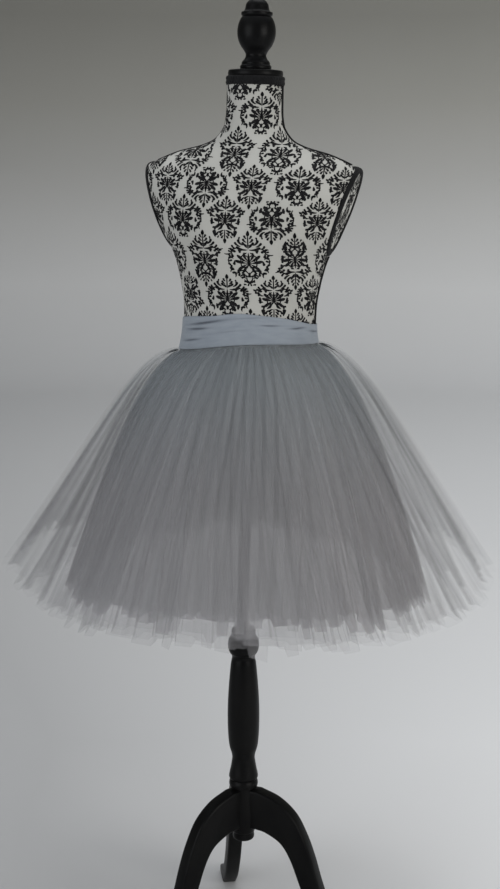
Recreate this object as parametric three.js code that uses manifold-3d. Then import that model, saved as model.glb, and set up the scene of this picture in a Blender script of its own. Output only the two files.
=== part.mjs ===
// A gathered tulle skirt on a limbless dress form with a turned tripod stand.
// Millimetres, +Z up, the front faces -Y, and the floor is at z = 0.

import * as THREE from 'three';
import { mergeVertices } from 'three/addons/utils/BufferGeometryUtils.js';
import Module from 'manifold-3d';

const { degToRad } = THREE.MathUtils;

// Where the pole stands, so that the middle of the whole outline is at x = 0, y = 0
const POLE = { x: -11, y: 0 };
// The form and the skirt tip towards +X about this height on the pole, and are turned on it
const LEAN = { angle: degToRad(1.35), height: 600 };
const TURN = degToRad(-15);
// Clearance between pieces that touch
const SEAM = 0.3;

// Dress form: height, half width, and depth in front of and behind the pole axis
const FORM = [
  { z: 740, side: 150, front: 100, back: 104 },
  { z: 746, side: 156, front: 106, back: 110 },
  { z: 780, side: 163, front: 110, back: 116 },
  { z: 822, side: 165, front: 111, back: 118 },
  { z: 870, side: 159, front: 107, back: 113 },
  { z: 920, side: 145, front: 99, back: 104 },
  { z: 960, side: 130, front: 92, back: 95 },
  { z: 1000, side: 116.5, front: 89, back: 88 },
  { z: 1050, side: 112.5, front: 87, back: 85 },
  { z: 1082, side: 113.5, front: 89, back: 85 },
  { z: 1116, side: 119, front: 95, back: 87 },
  { z: 1150, side: 127.5, front: 103, back: 91 },
  { z: 1178, side: 138, front: 111, back: 95 },
  { z: 1206, side: 147.5, front: 116, back: 98 },
  { z: 1240, side: 160, front: 115, back: 100 },
  { z: 1274, side: 172, front: 106, back: 99 },
  { z: 1300, side: 181, front: 95, back: 94 },
  { z: 1312, side: 184, front: 88, back: 89 },
  { z: 1320, side: 169, front: 82, back: 84 },
  { z: 1335, side: 133, front: 69, back: 74 },
  { z: 1347, side: 90, front: 60, back: 66 },
  { z: 1357, side: 69, front: 55, back: 60 },
  { z: 1372, side: 56, front: 51, back: 54 },
  { z: 1384, side: 50.5, front: 49, back: 51 },
  { z: 1409, side: 47.6, front: 47, back: 48.5 },
  { z: 1466, side: 47.3, front: 46.5, back: 47.5 },
];
const FORM_ROUNDNESS = 2.15;
const FORM_HEIGHTS = [
  740, 746, 780, 822, 870, 920, 960, 982, 1000, 1017, 1034, 1050, 1066, 1082, 1099, 1116, 1133, 1150,
  1173, 1190, 1206, 1224, 1242, 1260, 1278, 1294, 1305, 1312, 1319, 1326, 1333, 1340, 1347, 1356, 1366,
  1378, 1394, 1420, 1466,
];
const FORM_COLUMNS = { plate: 4, arc: 14 };
// The flat oval plate that closes each armhole
const ARMHOLE = { z: 1243, halfHeight: 70, halfDepth: 50, leastDepth: 12 };
// Two soft swellings of the chest
const CHEST = { angle: degToRad(36), spread: degToRad(25), z: 1214, reach: 40, rise: 6 };

// Trim tape on the seams of the form
const TAPE = { armhole: 8, shoulder: 5, side: 6.5, lift: 0.6, thickness: 1.2, steps: 44, lowest: 1011 };
const NECK_TRIM = { bottom: 1451.5, top: 1466.3, clear: 0.7, thickness: 2.4, round: 0.8, columns: 32 };
const NECK_PLATE = { bottom: 1466.6, top: 1477, radius: 46.5, round: 2.5 };

// Waistband: a doubled strip of stretch jersey round the waist
const BAND = { bottom: 1005, top: 1050, thickness: 2, clear: 0.8, columns: 48, flare: 2.2 };
// It sits higher at the front, its top edge more so than its lower one
const BAND_RISE = { front: 14, top: 0.4 };
const BAND_HEIGHTS = [0, 0.18, 0.4, 0.62, 0.82, 1];
// Soft cross folds of the band: direction, height from its bottom edge, reach and depth
const BAND_FOLDS = [
  { angle: degToRad(218), z: 43, spread: degToRad(26), reach: 4, depth: 0.9 },
  { angle: degToRad(205), z: 30, spread: degToRad(20), reach: 4, depth: 0.7 },
  { angle: degToRad(200), z: 14, spread: degToRad(14), reach: 3, depth: 0.6 },
  { angle: degToRad(305), z: 38, spread: degToRad(14), reach: 3, depth: 0.6 },
  { angle: degToRad(335), z: 34, spread: degToRad(12), reach: 4, depth: 0.7 },
  { angle: degToRad(70), z: 34, spread: degToRad(24), reach: 4, depth: 0.8 },
  { angle: degToRad(120), z: 20, spread: degToRad(20), reach: 4, depth: 0.7 },
];

// Tulle layers, from outside in: the seam's height, the hem's reach at the sides and at the
// front and back, the handles of the curve between them, the folds and their depth at the hem
const TULLE_WALL = 1.2;
const TULLE_CLEAR = 1;
// The hems hang a little towards +X
const HEM_SHIFT = 11;
const TULLE = [
  {
    name: 'tulle_outer', seam: 1004.7, sideHem: { r: 400, z: 645 }, frontHem: { r: 385, z: 642 },
    flare: { r: 75, z: 4 }, rise: { r: -156, z: 240 }, folds: 40, depth: 15, levels: 5, ragged: 11,
  },
  {
    name: 'tulle_middle', seam: 1003, sideHem: { r: 352, z: 600 }, frontHem: { r: 338, z: 628 },
    flare: { r: 70, z: -12 }, rise: { r: -122, z: 264 }, folds: 36, depth: 13, levels: 5, ragged: 10,
  },
  {
    name: 'tulle_inner', seam: 1001.3, sideHem: { r: 300, z: 604 }, frontHem: { r: 290, z: 632 },
    flare: { r: 60, z: -28 }, rise: { r: -68, z: 236 }, folds: 30, depth: 11, levels: 4, ragged: 8,
  },
];
// Each fold: a trough, a crest and a long back, by place across the fold and height
const FOLD_SHAPE = [
  { at: 0, height: -1 },
  { at: 0.36, height: 1 },
  { at: 0.7, height: 0.15 },
];

// Turned stand: radius and height of each turning, from the bottom up
const COLUMN = [
  [0, 175], [16.5, 175], [18, 177], [18, 186.5], [19, 188], [19, 262], [23.6, 263.5], [24.5, 268],
  [23.4, 273], [22, 275.5], [24.4, 278.5], [24.2, 283], [22, 293], [20, 304], [19.2, 312], [20.4, 319],
  [23.8, 330], [25.6, 344], [26.8, 366], [27, 389], [25.8, 420], [23.5, 450], [21.2, 472], [19.5, 482],
  [20.6, 485.5], [23.4, 489], [26.5, 500], [25.2, 511], [20.5, 519], [20.5, 526], [18.5, 529], [0, 529],
];
const HUB_RADIUS = 19;
const ROD = { radius: 10, bottom: 529.6 };
const FINIAL = [
  [0, 1477.3], [25, 1477.3], [26.5, 1479.5], [26.5, 1484], [24.5, 1486.5], [24, 1490], [19, 1497],
  [17.5, 1502.5], [19.5, 1508], [27, 1519], [31.6, 1531], [32.8, 1543], [31, 1556], [27, 1565.5],
  [24.6, 1568.5], [26.6, 1571], [26.6, 1575.5], [22, 1578], [20.4, 1582], [18.6, 1590], [12, 1597],
  [0, 1600],
];
const ROUND_SIDES = 24;

// Legs: sawn planks, each outline given by reach from the pole axis and height
const LEG = { thickness: 25, edge: 3.5, root: 14, top: 260, underside: 196, foot: { inner: 190, outer: 233 } };
const LEG_BACK = [[64, 249], [93, 227], [112, 196], [126, 162], [140, 118], [158, 74], [186, 37], [232, 13]];
const LEG_BELLY = [[168, 18], [146, 42], [126, 72], [107, 110], [88, 155], [70, 180], [44, 193], [26, 196]];
const LEGS = [
  { name: 'leg_back', direction: degToRad(98) },
  { name: 'leg_front_left', direction: degToRad(218) },
  { name: 'leg_front_right', direction: degToRad(338) },
];

// Colours as the photograph shows them
const MATERIALS = {
  tulle: { color: 0x73757a, roughness: 0.85, metalness: 0 },
  jersey: { color: 0x8a9199, roughness: 0.8, metalness: 0 },
  cover: { color: 0xb9b8b2, roughness: 0.9, metalness: 0 },
  trim: { color: 0x17171a, roughness: 0.8, metalness: 0 },
  paint: { color: 0x131314, roughness: 0.4, metalness: 0 },
};

// Smooth value of one column of a table at a height, with no overshoot between its rows
function tableValue(rows, column, z) {
  const last = rows.length - 1;
  if (z <= rows[0].z) return rows[0][column];
  if (z >= rows[last].z) return rows[last][column];
  const i = rows.findIndex((row) => row.z > z) - 1;
  const rise = (k) => (rows[k + 1][column] - rows[k][column]) / (rows[k + 1].z - rows[k].z);
  const slope = (k) => {
    if (k === 0 || k === last) return 0;
    const [before, after] = [rise(k - 1), rise(k)];
    return before * after <= 0 ? 0 : (2 * before * after) / (before + after);
  };
  const width = rows[i + 1].z - rows[i].z;
  const t = (z - rows[i].z) / width;
  const s = 1 - t;
  return rows[i][column] * s * s * (1 + 2 * t) + rows[i + 1][column] * t * t * (1 + 2 * s)
    + width * t * s * (slope(i) * s - slope(i + 1) * t);
}

// A soft hump, 1 in its middle
const hump = (distance, spread) => Math.exp(-((distance / spread) ** 2));

// Difference of two directions, from -half a turn to half a turn
const turnBetween = (a, b) => Math.atan2(Math.sin(a - b), Math.cos(a - b));

// Even but irregular number from -1 to 1 for a whole number and a salt
const scatter = (index, salt) => 2 * ((Math.sin(index * 12.9898 + salt * 78.233) * 43758.5453 % 1 + 1) % 1) - 1;

// Half depth of the armhole plate at a height
function plateDepth(z) {
  const part = 1 - ((z - ARMHOLE.z) / ARMHOLE.halfHeight) ** 2;
  return part > 0 ? ARMHOLE.halfDepth * Math.sqrt(part) : 0;
}

// Reach of the dress form from its axis, in a direction and at a height
function formRadius(angle, z) {
  const side = tableValue(FORM, 'side', z);
  const depth = tableValue(FORM, Math.sin(angle) < 0 ? 'front' : 'back', z);
  const p = FORM_ROUNDNESS;
  const uncut = side / (1 - (plateDepth(z) / depth) ** p) ** (1 / p);
  const across = Math.abs(Math.cos(angle));
  const along = Math.abs(Math.sin(angle));
  const round = ((across / uncut) ** p + (along / depth) ** p) ** (-1 / p);
  let chest = 0;
  for (const hand of [-1, 1]) {
    const off = turnBetween(angle, -Math.PI / 2 + hand * CHEST.angle);
    chest += CHEST.rise * hump(off, CHEST.spread) * hump(z - CHEST.z, CHEST.reach);
  }
  return Math.min(round + chest, side / Math.max(across, 0.01));
}

function onAxis(angle, radius, z) {
  return new THREE.Vector3(radius * Math.cos(angle), radius * Math.sin(angle), z);
}

const formPoint = (angle, z) => onAxis(angle, formRadius(angle, z), z);

// Outward direction of the form's surface
function formNormal(angle, z) {
  const step = { angle: 0.03, z: 2.5 };
  const around = formPoint(angle + step.angle, z).sub(formPoint(angle - step.angle, z));
  const up = formPoint(angle, z + step.z).sub(formPoint(angle, z - step.z));
  return around.cross(up).normalize();
}

// Closed solid from a geometry: points joined, empty faces dropped, faces turned outwards
function solid(geometry) {
  for (const unused of ['normal', 'uv']) geometry.deleteAttribute(unused);
  const merged = mergeVertices(geometry, 1e-4);
  const place = merged.attributes.position;
  const corner = (i) => new THREE.Vector3().fromBufferAttribute(place, i);
  const faces = [];
  let volume = 0;
  for (let i = 0; i < merged.index.count; i += 3) {
    const face = [0, 1, 2].map((k) => merged.index.getX(i + k));
    if (new Set(face).size < 3) continue;
    faces.push(face);
    const [a, b, c] = face.map(corner);
    volume += a.dot(b.cross(c));
  }
  merged.setIndex(faces.flatMap((face) => (volume < 0 ? face.reverse() : face)));
  merged.computeVertexNormals();
  return merged;
}

// Solid through a row of closed sections with the same number of points. The row closes on
// itself, or else each end is filled by steps between opposite points of its section.
function solidThrough(sections, closes) {
  const size = sections[0].length;
  const points = sections.flat();
  const index = [];
  const rows = closes ? sections.length : sections.length - 1;
  for (let row = 0; row < rows; row += 1) {
    const next = ((row + 1) % sections.length) * size;
    for (let k = 0; k < size; k += 1) {
      const here = row * size;
      const after = (k + 1) % size;
      index.push(here + k, here + after, next + after, here + k, next + after, next + k);
    }
  }
  if (!closes) {
    for (const [start, flip] of [[0, true], [(sections.length - 1) * size, false]]) {
      for (let k = 0; k < size / 2 - 1; k += 1) {
        const quad = [k, k + 1, size - 2 - k, size - 1 - k].map((corner) => start + corner);
        if (flip) quad.reverse();
        index.push(quad[0], quad[1], quad[2], quad[0], quad[2], quad[3]);
      }
    }
  }
  const geometry = new THREE.BufferGeometry().setFromPoints(points);
  geometry.setIndex(index);
  return solid(geometry);
}

function piece(name, geometry, look) {
  const mesh = new THREE.Mesh(geometry, new THREE.MeshStandardMaterial(MATERIALS[look]));
  mesh.name = name;
  return mesh;
}

// Round piece from a profile of radius and height
function turned(name, profile, look) {
  const outline = profile.map(([r, z]) => new THREE.Vector2(r, z));
  const geometry = new THREE.LatheGeometry(outline, ROUND_SIDES).rotateX(Math.PI / 2);
  return piece(name, solid(geometry), look);
}

// Directions of the points round the form, with points on the edges of both armhole plates
function formDirections(z) {
  const side = tableValue(FORM, 'side', z);
  const edge = Math.atan2(Math.max(plateDepth(z), ARMHOLE.leastDepth), side);
  const arc = (from, to, depth) => {
    const spread = (angle) => Math.atan2(Math.sin(angle) / depth, Math.cos(angle) / side);
    const [start, end] = [spread(from), spread(to)];
    return Array.from({ length: FORM_COLUMNS.arc }, (unused, k) => {
      const place = start + ((end - start) * k) / FORM_COLUMNS.arc;
      return Math.atan2(depth * Math.sin(place), side * Math.cos(place));
    });
  };
  const plate = (middle) => Array.from({ length: FORM_COLUMNS.plate }, (unused, k) => (
    middle + edge * ((2 * k) / FORM_COLUMNS.plate - 1)
  ));
  return [
    ...plate(0), ...arc(edge, Math.PI - edge, tableValue(FORM, 'back', z)),
    ...plate(Math.PI), ...arc(-Math.PI + edge, -edge, tableValue(FORM, 'front', z)),
  ];
}

function makeForm() {
  const sections = FORM_HEIGHTS.map((z) => formDirections(z).map((angle) => formPoint(angle, z)));
  return piece('dress_form', solidThrough(sections, false), 'cover');
}

// Flat tape on the form along a route of directions and heights
function makeTape(name, route, width, closes) {
  const spots = route.map(({ angle, z }) => formPoint(angle, z));
  const last = spots.length - 1;
  const sections = spots.map((spot, i) => {
    const before = spots[i > 0 ? i - 1 : (closes ? last : 0)];
    const after = spots[i < last ? i + 1 : (closes ? 0 : last)];
    const outward = formNormal(route[i].angle, route[i].z);
    const across = after.clone().sub(before).cross(outward).normalize();
    const edge = [-0.5, 0, 0.5].map((part) => {
      const beside = spot.clone().addScaledVector(across, part * width);
      const angle = Math.atan2(beside.y, beside.x);
      return { base: formPoint(angle, beside.z), normal: formNormal(angle, beside.z) };
    });
    const lifted = (height) => edge.map(({ base, normal }) => base.clone().addScaledVector(normal, height));
    return [...lifted(TAPE.lift), ...lifted(TAPE.lift + TAPE.thickness).reverse()];
  });
  return piece(name, solidThrough(sections, closes), 'trim');
}

// The tapes of one side of the form: hand is 1 for the +X side and -1 for the other
function makeTapes(hand) {
  const label = hand > 0 ? 'right' : 'left';
  const facing = hand > 0 ? 0 : Math.PI;
  const loop = Array.from({ length: TAPE.steps }, (unused, k) => {
    const turn = (2 * Math.PI * k) / TAPE.steps;
    const z = ARMHOLE.z + ARMHOLE.halfHeight * Math.sin(turn) * 0.99;
    const off = Math.atan2(plateDepth(z) * Math.sign(Math.cos(turn)), tableValue(FORM, 'side', z));
    return { angle: facing + off, z };
  });
  // Down the seam at every height where the form has points, from one height to another
  const down = (from, to) => {
    const between = FORM_HEIGHTS.filter((z) => z > to && z < from).reverse();
    return [from, ...between, to].map((z) => ({ angle: facing, z }));
  };
  const clear = TAPE.armhole / 2 + 2 * SEAM;
  const tip = ARMHOLE.z + ARMHOLE.halfHeight;
  const underarm = ARMHOLE.z - ARMHOLE.halfHeight;
  return [
    makeTape(`armhole_tape_${label}`, loop, TAPE.armhole, true),
    makeTape(`shoulder_tape_${label}`, down(NECK_TRIM.bottom - SEAM, tip + clear), TAPE.shoulder, false),
    makeTape(`side_tape_${label}`, down(underarm - clear, TAPE.lowest), TAPE.side, false),
  ];
}

function makeNeckTrim() {
  const { bottom, top, clear, thickness, round, columns } = NECK_TRIM;
  const sections = Array.from({ length: columns }, (unused, k) => {
    const angle = (2 * Math.PI * k) / columns;
    const inner = formRadius(angle, bottom) + clear;
    const outer = inner + thickness;
    const outline = [
      [inner, bottom], [outer - round, bottom], [outer, bottom + round],
      [outer, top - round], [outer - round, top], [inner, top],
    ];
    return outline.map(([radius, z]) => onAxis(angle, radius, z));
  });
  return piece('neck_trim', solidThrough(sections, true), 'trim');
}

function makeNeckPlate() {
  const { bottom, top, radius, round } = NECK_PLATE;
  const profile = [
    [0, bottom], [radius - 1, bottom], [radius, bottom + 1], [radius, top - round],
    [radius - round * 0.3, top - round * 0.3], [radius - round, top], [0, top],
  ];
  return turned('neck_plate', profile, 'paint');
}

// Inside of the band: the form's surface, eased out over the side tapes
function bandInside(angle, z) {
  const overTape = hump(Math.sin(angle) * 110, TAPE.side) * (TAPE.lift + TAPE.thickness);
  return formRadius(angle, z) + BAND.clear + overTape;
}

// How far the waist seam rises towards the front of the form
const frontRise = (angle) => BAND_RISE.front * ((1 - Math.sin(angle)) / 2) ** 2;

function makeBand() {
  const height = BAND.top - BAND.bottom;
  const sections = Array.from({ length: BAND.columns }, (unused, k) => {
    const angle = (2 * Math.PI * k) / BAND.columns;
    const wave = 1.2 * Math.sin(3 * angle + 0.6) + 0.8 * Math.sin(7 * angle);
    const rise = frontRise(angle);
    const level = (part) => BAND.bottom + rise + part * (height + wave + BAND_RISE.top * rise);
    const outside = BAND_HEIGHTS.map((part) => {
      const z = level(part);
      let radius = bandInside(angle, z) + BAND.thickness + BAND.flare * (1 - part) ** 3;
      for (const fold of BAND_FOLDS) {
        const off = turnBetween(angle, fold.angle);
        radius += fold.depth * hump(off, fold.spread) * hump(z - level(0) - fold.z, fold.reach);
      }
      return onAxis(angle, radius, z);
    });
    const inside = BAND_HEIGHTS.map((part) => onAxis(angle, bandInside(angle, level(part)), level(part)));
    return [...outside, ...inside.reverse()];
  });
  return piece('waistband', solidThrough(sections, true), 'jersey');
}

// Place on a tulle layer's smooth profile, by direction and by part of the way to the hem
function layerProfile(layer, angle, t) {
  const sideways = Math.cos(angle + TURN);
  const mix = (key) => THREE.MathUtils.lerp(layer.frontHem[key], layer.sideHem[key], sideways ** 2);
  const seamZ = layer.seam + frontRise(angle);
  const seam = { r: bandInside(angle, seamZ) + TULLE_CLEAR, z: seamZ };
  const hem = { r: mix('r') + HEM_SHIFT * sideways, z: mix('z') };
  const blend = (key) => {
    const s = 1 - t;
    const [a, d] = [seam[key], hem[key]];
    return a * s ** 3 + 3 * (a + layer.flare[key]) * s * s * t
      + 3 * (d + layer.rise[key]) * s * t * t + d * t ** 3;
  };
  return new THREE.Vector2(blend('r'), blend('z'));
}

// A gathered layer: folds fan out from the waist, deeper and more ragged towards the hem
function makeTulle(layer, salt) {
  const columns = [];
  for (let fold = 0; fold < layer.folds; fold += 1) {
    const start = fold + 0.28 * scatter(fold, salt);
    const end = fold + 1 + 0.28 * scatter((fold + 1) % layer.folds, salt);
    const size = 0.75 + 0.25 * scatter(fold, salt + 1);
    const length = layer.ragged * scatter(fold, salt + 2);
    for (const { at, height } of FOLD_SHAPE) {
      const angle = (2 * Math.PI * (start + at * (end - start))) / layer.folds;
      columns.push({ angle, height: height * size * layer.depth, length });
    }
  }
  const outside = columns.map(({ angle, height, length }) => (
    Array.from({ length: layer.levels + 1 }, (unused, k) => {
      const t = k / layer.levels;
      const [before, here, after] = [t - 0.02, t, t + 0.02].map((at) => layerProfile(layer, angle, at));
      const along = after.sub(before).normalize();
      const lift = height * t ** 1.5;
      const reach = length * t ** 4;
      return onAxis(angle, here.x - along.y * lift + along.x * reach, here.y + along.x * lift + along.y * reach);
    })
  ));
  const count = outside.length;
  const sections = outside.map((line, column) => {
    const [left, right] = [outside[(column + count - 1) % count], outside[(column + 1) % count]];
    const inside = line.map((point, k) => {
      const around = right[k].clone().sub(left[k]);
      const down = line[Math.min(k + 1, layer.levels)].clone().sub(line[Math.max(k - 1, 0)]);
      return point.clone().addScaledVector(around.cross(down).normalize(), TULLE_WALL);
    });
    return [...line, ...inside.reverse()];
  });
  return piece(layer.name, solidThrough(sections, true), 'tulle');
}

// A leg, with its root cut round to sit against the hub
function makeLeg({ name, direction }, wasm) {
  const points = (outline) => outline.map(([r, z]) => new THREE.Vector2(r, z));
  const outline = new THREE.Shape();
  outline.moveTo(LEG.root, LEG.top);
  outline.lineTo(30, LEG.top);
  outline.splineThru(points(LEG_BACK));
  outline.lineTo(LEG.foot.outer, 0);
  outline.lineTo(LEG.foot.inner, 0);
  outline.splineThru(points(LEG_BELLY));
  outline.lineTo(LEG.root, LEG.underside);
  const plank = new THREE.ExtrudeGeometry(outline, {
    depth: LEG.thickness - 2 * LEG.edge,
    curveSegments: 2,
    bevelThickness: LEG.edge,
    bevelSize: LEG.edge,
    bevelOffset: -LEG.edge,
    bevelSegments: 1,
  });
  plank.translate(0, 0, LEG.edge - LEG.thickness / 2).rotateX(Math.PI / 2);
  const seat = new THREE.CylinderGeometry(HUB_RADIUS + SEAM, HUB_RADIUS + SEAM, 400, ROUND_SIDES * 2);
  seat.rotateX(Math.PI / 2).translate(0, 0, LEG.top);
  const cut = toManifold(wasm, solid(plank)).subtract(toManifold(wasm, solid(seat)));
  const mesh = piece(name, fromManifold(cut), 'paint');
  mesh.rotation.z = direction;
  return mesh;
}

function toManifold(wasm, geometry) {
  const vertProperties = Float32Array.from(geometry.attributes.position.array);
  const triVerts = Uint32Array.from(geometry.index.array);
  return new wasm.Manifold(new wasm.Mesh({ numProp: 3, vertProperties, triVerts }));
}

function fromManifold(shape) {
  const { vertProperties, triVerts } = shape.getMesh();
  const geometry = new THREE.BufferGeometry();
  geometry.setAttribute('position', new THREE.BufferAttribute(vertProperties, 3));
  geometry.setIndex(Array.from(triVerts));
  return solid(geometry);
}

const wasm = await Module();
wasm.setup();

// The stand stays upright
const stand = new THREE.Group();
stand.add(turned('column', COLUMN, 'paint'));
for (const leg of LEGS) stand.add(makeLeg(leg, wasm));

// The form, the rod below it and the skirt are turned, and tip on the pole together
const upper = new THREE.Group();
upper.rotation.z = TURN;
const rodTop = FORM[0].z - SEAM;
const rod = [[0, ROD.bottom], [ROD.radius, ROD.bottom], [ROD.radius, rodTop], [0, rodTop]];
upper.add(turned('upper_rod', rod, 'paint'));
upper.add(makeForm());
for (const hand of [-1, 1]) upper.add(...makeTapes(hand));
upper.add(makeNeckTrim(), makeNeckPlate(), turned('finial', FINIAL, 'paint'));
upper.add(makeBand());
TULLE.forEach((layer, k) => upper.add(makeTulle(layer, 3 * k)));
upper.position.z = -LEAN.height;

const leaning = new THREE.Group();
leaning.position.z = LEAN.height;
leaning.rotation.y = LEAN.angle;
leaning.add(upper);

const skirtOnForm = new THREE.Group();
skirtOnForm.position.set(POLE.x, POLE.y, 0);
skirtOnForm.add(stand, leaning);

export default skirtOnForm;
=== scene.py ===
import math

import bpy
import numpy as np
from mathutils import Matrix, Vector


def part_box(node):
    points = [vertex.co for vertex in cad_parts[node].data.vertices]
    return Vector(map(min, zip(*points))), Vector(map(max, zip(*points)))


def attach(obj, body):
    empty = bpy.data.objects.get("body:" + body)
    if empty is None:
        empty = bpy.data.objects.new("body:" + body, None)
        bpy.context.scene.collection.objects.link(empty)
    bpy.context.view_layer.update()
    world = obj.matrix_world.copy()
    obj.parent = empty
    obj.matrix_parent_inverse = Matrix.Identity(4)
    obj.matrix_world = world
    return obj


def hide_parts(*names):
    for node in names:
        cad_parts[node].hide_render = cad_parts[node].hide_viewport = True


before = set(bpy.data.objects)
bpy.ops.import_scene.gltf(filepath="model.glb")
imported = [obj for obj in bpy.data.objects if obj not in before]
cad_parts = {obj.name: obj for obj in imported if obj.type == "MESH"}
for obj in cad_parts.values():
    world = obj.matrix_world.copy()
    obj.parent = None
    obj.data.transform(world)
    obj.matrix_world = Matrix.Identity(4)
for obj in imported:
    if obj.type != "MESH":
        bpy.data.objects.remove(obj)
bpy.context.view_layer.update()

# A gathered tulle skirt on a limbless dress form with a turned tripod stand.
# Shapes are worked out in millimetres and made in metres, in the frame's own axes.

MM = 0.001
TAU = 2 * math.pi


# Placement

column_low, column_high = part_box("column")
POLE = Vector(((column_low[0] + column_high[0]) / 2, (column_low[1] + column_high[1]) / 2, 0))
LEAN = {"angle": math.radians(1.35), "height": 600}
TURN = math.radians(-15)
lean_pivot = Vector((0, 0, LEAN["height"] * MM))
UPPER = (
    Matrix.Translation(POLE)
    @ Matrix.Translation(lean_pivot)
    @ Matrix.Rotation(LEAN["angle"], 4, "Y")
    @ Matrix.Translation(-lean_pivot)
    @ Matrix.Rotation(TURN, 4, "Z")
)
STAND = Matrix.Translation(POLE)


def smooth(low, high, x):
    """0 below low, 1 above high, with a soft step between."""
    t = np.clip((np.asarray(x, float) - low) / (high - low), 0, 1)
    return t * t * (3 - 2 * t)


def hump(distance, spread):
    return np.exp(-(np.asarray(distance) / spread) ** 2)


def turn_between(a, b):
    return np.arctan2(np.sin(a - b), np.cos(a - b))


# Meshes

def grid_faces(rows, columns, wrap):
    """Quads of a grid of points, row by row; wrap joins the last column to the first."""
    row, column = np.meshgrid(np.arange(rows - 1), np.arange(columns if wrap else columns - 1), indexing="ij")
    after = (column + 1) % columns
    here, below = row * columns, (row + 1) * columns
    return np.stack([here + column, here + after, below + after, below + column], axis=-1).reshape(-1, 4)


def tube_faces(rows, columns):
    """Quads of a grid of points that is joined to itself both ways."""
    last = (rows - 1) * columns
    faces = grid_faces(rows, columns, True).tolist()
    return faces + [[last + k, last + (k + 1) % columns, (k + 1) % columns, k] for k in range(columns)]


def barrel_faces(rows, columns):
    """Faces of rings of points from the bottom up, and fans to two points added after them."""
    low, high, last = rows * columns, rows * columns + 1, (rows - 1) * columns
    faces = grid_faces(rows, columns, True).tolist()
    for k in range(columns):
        after = (k + 1) % columns
        faces.append([low, after, k])
        faces.append([high, last + k, last + after])
    return faces


def capped_faces(rows, columns):
    """Faces of rings of points, with one flat face at each end."""
    ends = [list(range(columns))[::-1], [(rows - 1) * columns + k for k in range(columns)]]
    return grid_faces(rows, columns, True).tolist() + ends


def joined(parts):
    """One mesh of points and faces from several."""
    starts = np.cumsum([0] + [len(points) for points, _ in parts])
    faces = [faces + start for (_, faces), start in zip(parts, starts)]
    return np.concatenate([points for points, _ in parts]), np.concatenate(faces)


def add_piece(name, points, faces, material, place=UPPER, uvs=None, round_u=0, marks=None, replaces=()):
    """Mesh piece from points in millimetres in its group's frame, riding on the one body.

    Where the piece is closed round, round_u is the length after which its u starts again.
    """
    world = np.c_[np.asarray(points, float) * MM, np.ones(len(points))] @ np.array(place).T
    mesh = bpy.data.meshes.new(name)
    mesh.from_pydata(world[:, :3].tolist(), [], [list(map(int, face)) for face in faces])
    mesh.polygons.foreach_set("use_smooth", [True] * len(mesh.polygons))
    if uvs is not None:
        loop_points = np.empty(len(mesh.loops), dtype=np.int32)
        mesh.loops.foreach_get("vertex_index", loop_points)
        flat = np.asarray(uvs, np.float32)[loop_points]
        if round_u:
            first = np.array([face.loop_start for face in mesh.polygons for _ in range(face.loop_total)])
            flat[:, 0] -= round_u * np.round((flat[:, 0] - flat[first, 0]) / round_u)
        layer = mesh.uv_layers.new(name="cloth")
        layer.data.foreach_set("uv", flat.ravel())
    for mark, values in (marks or {}).items():
        mesh.attributes.new(mark, "FLOAT", "POINT").data.foreach_set("value", np.asarray(values, np.float32))
    mesh.update()
    piece = bpy.data.objects.new(name, mesh)
    bpy.context.scene.collection.objects.link(piece)
    mesh.materials.append(material)
    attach(piece, "root")
    if replaces:
        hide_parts(*replaces)
    return piece


# Materials

def fill(tree, target, value):
    """Set an input to a value, or link another node's output to it."""
    if isinstance(value, bpy.types.NodeSocket):
        tree.links.new(value, target)
    else:
        target.default_value = value


def node(tree, kind, **inputs):
    """Node with its inputs set by name, where an input is a value or another node's output."""
    made = tree.nodes.new(kind)
    for key, value in inputs.items():
        if hasattr(made, key) and key not in made.inputs:
            setattr(made, key, value)
            continue
        fill(tree, made.inputs[key.replace("_", " ")], value)
    return made


def math_node(tree, operation, first, second=0.0):
    made = tree.nodes.new("ShaderNodeMath")
    made.operation = operation
    for target, value in zip(made.inputs, (first, second)):
        fill(tree, target, value)
    return made.outputs[0]


def add_up(tree, terms, start):
    """Start plus each value times its weight."""
    total = start
    for value, weight in terms:
        made = tree.nodes.new("ShaderNodeMath")
        made.operation = "MULTIPLY_ADD"
        for target, part in zip(made.inputs, (value, weight, total)):
            fill(tree, target, part)
        total = made.outputs[0]
    return total


def stretched(tree, source, scale):
    """Coordinates from the object or its uv map, scaled on each axis."""
    coordinates = tree.nodes.new("ShaderNodeTexCoord").outputs[source]
    mapping = tree.nodes.new("ShaderNodeMapping")
    mapping.inputs["Scale"].default_value = scale
    tree.links.new(coordinates, mapping.inputs["Vector"])
    return mapping.outputs["Vector"]


def ramp(tree, factor, stops):
    """Colour ramp of (place, colour) stops."""
    made = tree.nodes.new("ShaderNodeValToRGB")
    made.color_ramp.elements[0].position, made.color_ramp.elements[0].color = stops[0][0], (*stops[0][1], 1)
    made.color_ramp.elements[1].position, made.color_ramp.elements[1].color = stops[-1][0], (*stops[-1][1], 1)
    for place, colour in stops[1:-1]:
        made.color_ramp.elements.new(place).color = (*colour, 1)
    tree.links.new(factor, made.inputs["Fac"])
    return made.outputs["Color"]


def shader(name, roughness, **settings):
    """New material and its Principled node."""
    material = bpy.data.materials.new(name)
    material.use_nodes = True
    principled = material.node_tree.nodes["Principled BSDF"]
    principled.inputs["Roughness"].default_value = roughness
    for key, value in settings.items():
        principled.inputs[key.replace("_", " ")].default_value = value
    return material, material.node_tree, principled


def noise(tree, source, stretch, scale, detail):
    """Cloudy pattern from 0 to 1, over the object or its uv map."""
    vector = stretched(tree, source, stretch)
    return node(tree, "ShaderNodeTexNoise", Vector=vector, Scale=scale, Detail=detail).outputs["Fac"]


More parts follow.
